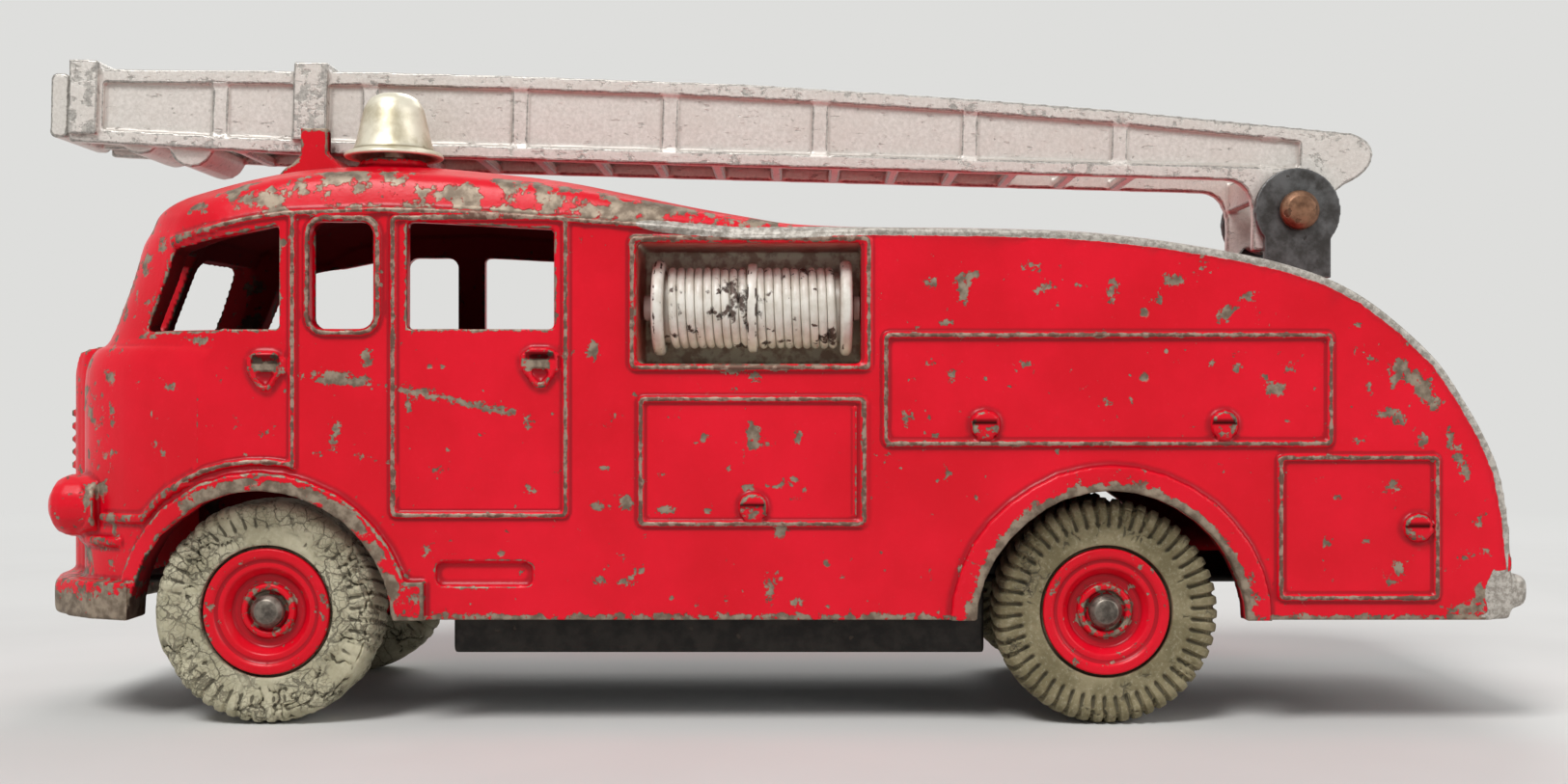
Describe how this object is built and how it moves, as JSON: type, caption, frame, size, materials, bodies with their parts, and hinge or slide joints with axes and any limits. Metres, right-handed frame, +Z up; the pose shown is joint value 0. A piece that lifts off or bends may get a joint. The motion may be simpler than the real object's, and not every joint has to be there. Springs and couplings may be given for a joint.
{
  "type": "toy fire engine",
  "caption": "Vintage die-cast toy fire engine with streamlined cab, hose reels, bell and a silver ladder that lifts and extends.",
  "frame": {"origin": "on the floor, under the middle of the bounding box", "axes": "+X to the rear of the vehicle, +Y to its right side, +Z up"},
  "size_m": [0.1432, 0.0416, 0.0645],
  "materials": {
    "red_paint": "gloss red stoving paint over zinc alloy, chipped and rubbed to bare metal on edges",
    "silver_paint": "warm silver paint over zinc alloy, rubbed grey on the flanges",
    "reel_paint": "off-white silver paint with dark chips",
    "dark_tinplate": "dark worn tinplate with a satin sheen",
    "steel": "dull aged steel",
    "bronze": "dark bronze-brown, satin",
    "gold": "pale gold plating, lightly worn",
    "old_rubber": "perished grey-olive rubber with fine cracks"
  },
  "bodies": {
    "chassis": {"body_casting": "red_paint", "baseplate": "dark_tinplate", "baseplate_rivet_front": "steel", "baseplate_rivet_rear": "steel", "bell": "gold", "hose_reel_left": "reel_paint", "hose_winding_left": "reel_paint", "hose_strap_left": "reel_paint", "hose_reel_right": "reel_paint", "hose_winding_right": "reel_paint", "hose_strap_right": "reel_paint", "ladder_pivot_pin": "bronze", "ladder_bracket": "dark_tinplate", "bracket_rivet": "steel"},
    "front_axle_body": {"front_axle": "steel"},
    "rear_axle_body": {"rear_axle": "steel"},
    "wheel_front_left": {"wheel_hub_front_left": "red_paint", "tyre_front_left": "old_rubber"},
    "wheel_front_right": {"wheel_hub_front_right": "red_paint", "tyre_front_right": "old_rubber"},
    "wheel_rear_left": {"wheel_hub_rear_left": "red_paint", "tyre_rear_left": "old_rubber"},
    "wheel_rear_right": {"wheel_hub_rear_right": "red_paint", "tyre_rear_right": "old_rubber"},
    "ladder_main": {"ladder_main_section": "silver_paint"},
    "ladder_slide": {"ladder_sliding_section": "silver_paint"}
  },
  "joints": [
    {"name": "front_axle_turn", "type": "hinge", "parent": "chassis", "child": "front_axle_body", "pos_m": [-0.0458, 0, 0.0105], "axis": [0, 1, 0], "continuous": true},
    {"name": "rear_axle_turn", "type": "hinge", "parent": "chassis", "child": "rear_axle_body", "pos_m": [0.0326, 0, 0.0105], "axis": [0, 1, 0], "continuous": true},
    {"name": "front_left_wheel_turn", "type": "hinge", "parent": "front_axle_body", "child": "wheel_front_left", "pos_m": [-0.0458, -0.0156, 0.0105], "axis": [0, 1, 0], "continuous": true},
    {"name": "front_right_wheel_turn", "type": "hinge", "parent": "front_axle_body", "child": "wheel_front_right", "pos_m": [-0.0458, 0.0156, 0.0105], "axis": [0, 1, 0], "continuous": true},
    {"name": "rear_left_wheel_turn", "type": "hinge", "parent": "rear_axle_body", "child": "wheel_rear_left", "pos_m": [0.0326, -0.0156, 0.0105], "axis": [0, 1, 0], "continuous": true},
    {"name": "rear_right_wheel_turn", "type": "hinge", "parent": "rear_axle_body", "child": "wheel_rear_right", "pos_m": [0.0326, 0.0156, 0.0105], "axis": [0, 1, 0], "continuous": true},
    {"name": "ladder_lift", "type": "hinge", "parent": "chassis", "child": "ladder_main", "pos_m": [0.0537, 0, 0.0492], "axis": [0, 1, 0], "range_deg": [0, 75]},
    {"name": "ladder_extend", "type": "slide", "parent": "ladder_main", "child": "ladder_slide", "axis": [-0.9996, 0, 0.0279], "range_m": [0, 0.068]}
  ]
}
